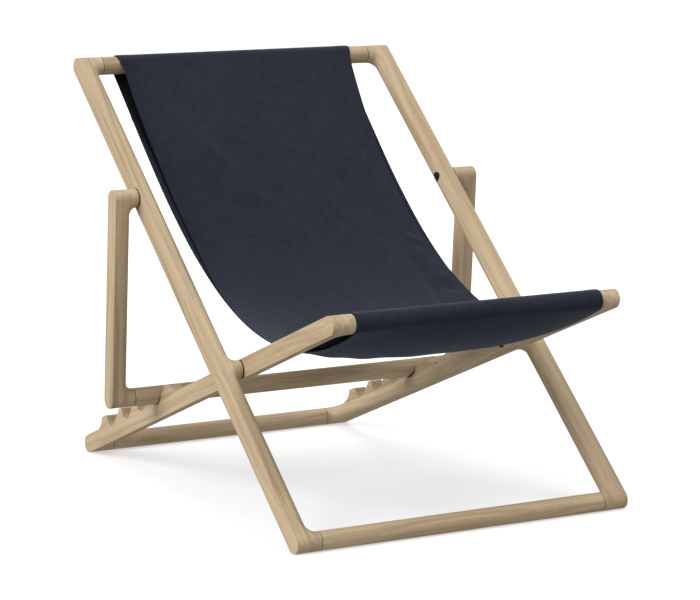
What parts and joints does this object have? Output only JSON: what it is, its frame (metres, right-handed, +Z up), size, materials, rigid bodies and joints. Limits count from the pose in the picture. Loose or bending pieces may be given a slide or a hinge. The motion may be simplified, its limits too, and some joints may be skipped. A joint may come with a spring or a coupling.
{
  "type": "folding deck chair",
  "caption": "Folding wooden deck chair with a canvas sling seat, nested hinged frames and a toothed rack that sets the recline.",
  "frame": {"origin": "on the floor, under the middle of the chair's bounding box", "axes": "+Z up, +Y to the rear of the chair, +X to the right of someone who looks at the chair from the front with -Y towards them"},
  "size_m": [0.794, 1.0095, 0.801],
  "materials": {
    "wood": "oiled pale hardwood, satin",
    "black_steel": "black oxide",
    "zinc": "zinc plated",
    "nylon": "matte",
    "canvas": "plain-weave outdoor canvas, navy"
  },
  "bodies": {
    "back_frame": {"back_leg_left": "wood", "back_leg_right": "wood", "top_crossbar": "wood", "front_foot_bar": "wood", "seat_pivot_bolt_left": "black_steel", "seat_pivot_insert_left": "zinc", "seat_pivot_washer_left": "nylon", "seat_pivot_bolt_right": "black_steel", "seat_pivot_insert_right": "zinc", "seat_pivot_washer_right": "nylon", "sling": "canvas"},
    "seat_frame": {"seat_rail_left": "wood", "seat_rail_right": "wood", "seat_front_bar": "wood", "rear_foot_bar": "wood"},
    "prop_frame": {"prop_leg_left": "wood", "prop_leg_right": "wood", "prop_crossbar": "wood", "prop_pivot_bolt_left": "black_steel", "prop_pivot_insert_left": "zinc", "prop_pivot_washer_left": "nylon", "prop_pivot_bolt_right": "black_steel", "prop_pivot_insert_right": "zinc", "prop_pivot_washer_right": "nylon"}
  },
  "joints": [
    {"name": "seat_fold", "type": "hinge", "parent": "back_frame", "child": "seat_frame", "pos_m": [0, -0.16252, 0.27345], "axis": [1, 0, 0], "range_deg": [0, 63.3], "deforming": ["sling"]},
    {"name": "prop_swing", "type": "hinge", "parent": "back_frame", "child": "prop_frame", "pos_m": [0, 0.15133, 0.55406], "axis": [1, 0, 0], "range_deg": [0, 127.6]}
  ]
}
